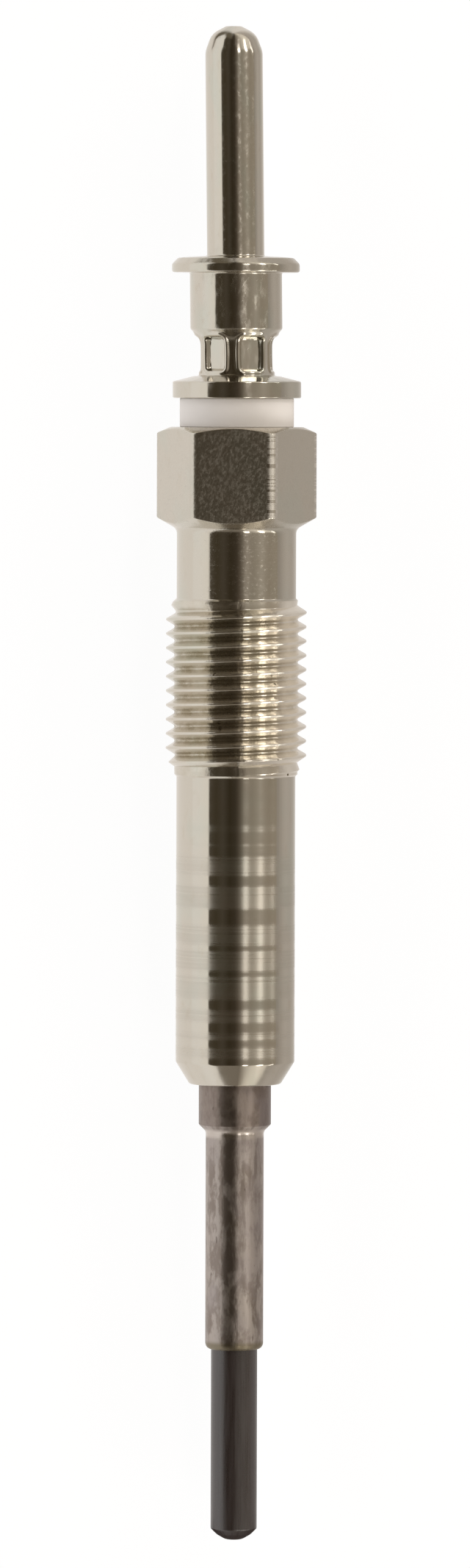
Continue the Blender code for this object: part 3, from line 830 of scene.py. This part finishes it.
def dress_hidden():
    """The CAD solids that stay inside get their own finish."""
    looks = {
        "seal_ring": ("seal_rubber", (0.02, 0.02, 0.021), 0.0, 0.6, 3.0),
        "centre_rod": ("rod_drawn_steel", (0.45, 0.44, 0.42), 1.0, 0.35, 3.0),
        "contact_ring": ("contact_ring_steel", (0.50, 0.47, 0.43), 1.0, 0.35, 4.0),
        "heating_element": ("element_ceramic", (0.07, 0.065, 0.06), 0.0, 0.5, 5.0),
        "live_lead": ("live_lead_metal", (0.42, 0.42, 0.44), 1.0, 0.35, 8.0),
        "ground_lead": ("ground_lead_metal", (0.40, 0.40, 0.42), 1.0, 0.4, 8.0),
    }
    for node, look in looks.items():
        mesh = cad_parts[node].data
        finish = drawn_wire(*look)
        if mesh.materials:
            mesh.materials[0] = finish
        else:
            mesh.materials.append(finish)


# ---------------------------------------------------------------- floor, lamps and camera


def set_camera():
    """The photograph's view: almost straight down, the plug's axis up the picture."""
    back = Vector((math.tan(math.radians(LEAN_X)), math.tan(math.radians(LEAN_Y)), 1)).normalized()
    right = Vector((0, 1, 0)).cross(back).normalized()
    up = back.cross(right)
    roll = math.radians(ROLL)
    right, up = right * math.cos(roll) + up * math.sin(roll), up * math.cos(roll) - right * math.sin(roll)
    camera = bpy.data.cameras.new("camera")
    camera.sensor_fit = "VERTICAL"
    camera.sensor_height = 24
    camera.lens = 148.4
    camera.clip_start, camera.clip_end = 0.05, 20
    view = bpy.data.objects.new("camera", camera)
    place = Matrix((right, up, back)).transposed().to_4x4()
    place.translation = Vector(AIM) + back * CAMERA_DISTANCE
    view.matrix_world = place
    bpy.context.scene.collection.objects.link(view)
    bpy.context.scene.camera = view


def set_floor():
    """A plain pale floor, white to the camera.

    Metal mirrors a floor of its own, not that white one: it fades to the right and has a dark patch at each end.
    """
    mesh = bpy.data.meshes.new("floor")
    mesh.from_pydata([(-3, -3, 0), (3, -3, 0), (3, 3, 0), (-3, 3, 0)], [], [(0, 1, 2, 3)])
    floor = bpy.data.objects.new("floor", mesh)
    bpy.context.scene.collection.objects.link(floor)
    made = bpy.data.materials.new("floor_paper")
    made.use_nodes = True
    nodes = Nodes(made.node_tree)
    nodes.tree.nodes.clear()
    rays = nodes.new("ShaderNodeLightPath").outputs
    place = nodes.new("ShaderNodeTexCoord").outputs["Object"]
    x, y, _ = nodes.new("ShaderNodeSeparateXYZ", Vector=place).outputs
    share = nodes.math("MULTIPLY", x, 10, clamp=True)
    stops = [(p / 100, (v, v * (0.87 + 0.1 * v), v * (0.74 + 0.21 * v))) for p, v in FLOOR_SEEN]
    seen = nodes.ramp(share, stops)
    slant = nodes.math("DIVIDE", x, nodes.math("MAXIMUM", y, 0.05))
    sideways = nodes.math("ABSOLUTE", nodes.math("ADD", slant, 0.26))
    rear = nodes.math("MULTIPLY", nodes.span(y, 0.056, 0.064), nodes.span(sideways, 0.25, 0.13))
    seen = nodes.mix(rear, seen, REAR_END)
    sideways = nodes.math("ABSOLUTE", x)
    front = nodes.math("MULTIPLY", nodes.span(y, -0.0534, -0.0545), nodes.span(sideways, 0.02, 0.012))
    seen = nodes.mix(front, seen, FLOOR_IN_FRONT)
    paper = nodes.new("ShaderNodeBsdfDiffuse", Color=(0.8, 0.79, 0.78)).outputs[0]
    faint = nodes.new("ShaderNodeBsdfDiffuse", Color=(0.1, 0.1, 0.1)).outputs[0]
    white = nodes.new("ShaderNodeEmission", Color=(1, 1, 1), Strength=0.94).outputs[0]
    shown = nodes.new("ShaderNodeAddShader")
    nodes.put(shown.inputs[0], faint)
    nodes.put(shown.inputs[1], white)
    mirrored = nodes.new("ShaderNodeEmission", Color=seen).outputs[0]
    shiny = nodes.math("MAXIMUM", rays["Is Glossy Ray"], rays["Is Transmission Ray"])
    first = nodes.new("ShaderNodeMixShader", Fac=shiny)
    nodes.put(first.inputs[1], paper)
    nodes.put(first.inputs[2], mirrored)
    second = nodes.new("ShaderNodeMixShader", Fac=rays["Is Camera Ray"])
    nodes.put(second.inputs[1], first.outputs[0])
    nodes.put(second.inputs[2], shown.outputs[0])
    nodes.new("ShaderNodeOutputMaterial", Surface=second.outputs[0])
    mesh.materials.append(made)


def set_world():
    """White to the camera.

    Metal mirrors a room of its own, not that white: a bright wall on the left, a dark ceiling, a dim right side.
    Matt surfaces are lit by that room too, WORLD_ON_MATT times as brightly.
    """
    world = bpy.data.worlds.new("studio")
    bpy.context.scene.world = world
    world.use_nodes = True
    nodes = Nodes(world.node_tree)
    nodes.tree.nodes.clear()
    direction = nodes.new("ShaderNodeTexCoord").outputs["Generated"]
    parts = nodes.new("ShaderNodeSeparateXYZ", Vector=direction).outputs
    turn = nodes.math("ARCTAN2", parts[0], parts[2])
    share = nodes.math("MULTIPLY_ADD", turn, 0.5 / math.pi, 0.5)
    room = nodes.ramp(share, [(degrees / 360 + 0.5, colour) for degrees, colour in ROOM])
    ends = nodes.span(nodes.math("ABSOLUTE", parts[1]), 0.38, 0.58)
    ends = nodes.math("MULTIPLY", ends, nodes.span(turn, math.radians(22), math.radians(62)))
    ends = nodes.math("MULTIPLY", ends, nodes.span(turn, math.radians(130), math.radians(105)))
    room = nodes.mix(ends, room, BRIGHT_ENDS)
    front = nodes.span(parts[1], -0.55, -0.78)
    front = nodes.math("MULTIPLY", front, nodes.span(turn, math.radians(25), math.radians(8)))
    front = nodes.math("MULTIPLY", front, nodes.span(turn, math.radians(-50), math.radians(-47)))
    room = nodes.mix(front, room, FRONT_END)
    sideways = nodes.math("ABSOLUTE", nodes.math("ADD", parts[0], 0.26))
    rear = nodes.math("MULTIPLY", nodes.span(parts[1], 0.72, 0.86), nodes.span(sideways, 0.25, 0.13))
    room = nodes.mix(rear, room, REAR_END)
    rays = nodes.new("ShaderNodeLightPath").outputs
    matt = nodes.vector("MULTIPLY", room, (WORLD_ON_MATT,) * 3)
    room = nodes.mix(rays["Is Diffuse Ray"], room, matt)
    colour = nodes.mix(rays["Is Camera Ray"], room, (1, 1, 1))
    back = nodes.new("ShaderNodeBackground", Color=colour).outputs[0]
    nodes.new("ShaderNodeOutputWorld", Surface=back)


def set_lamps():
    """Soft boxes towards both ends, which turned metal shows as streaks along the plug."""
    centre = Vector((0, 0, AXIS_Z / 1000))
    for i, (direction, width, length, radiance) in enumerate(LAMPS):
        away = Vector(direction).normalized()
        lamp = bpy.data.lights.new(f"soft_box_{i + 1}", "AREA")
        lamp.shape = "RECTANGLE"
        lamp.size, lamp.size_y = width * LAMP_DISTANCE, length * LAMP_DISTANCE
        lamp.energy = radiance * math.pi * lamp.size * lamp.size_y
        lamp.color = LAMP_COLOUR
        box = bpy.data.objects.new(lamp.name, lamp)
        across = Vector((0, 1, 0)).cross(away).normalized()
        along = away.cross(across)
        place = Matrix((across, along, away)).transposed().to_4x4()
        place.translation = centre + away * LAMP_DISTANCE
        box.matrix_world = place
        box.visible_camera = False
        bpy.context.scene.collection.objects.link(box)


def main():
    """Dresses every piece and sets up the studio."""
    housing([shank_nickel(), thread_nickel(), neck_nickel(), hexagon_nickel()])
    terminal([pin_nickel(), barrel_nickel("barrel_nickel", 0.006, 0.22), barrel_nickel("foot_nickel", 0.012, 0.1)])
    bush([bush_plastic()])
    sleeve(
        [
            sleeve_metal("sleeve_heated_steel", (0.52, 0.465, 0.425), (0.29, 0.245, 0.215), (0.43, 0.38, 0.37), 0.46),
            sleeve_metal("collar_heated_steel", (0.36, 0.305, 0.27), (0.25, 0.205, 0.18), (0.28, 0.24, 0.25), 0.45),
        ]
    )
    heater([ground_ceramic()])
    dress_hidden()
    set_floor()
    set_world()
    set_lamps()
    set_camera()
    bpy.context.scene.view_settings.view_transform = "Standard"


main()
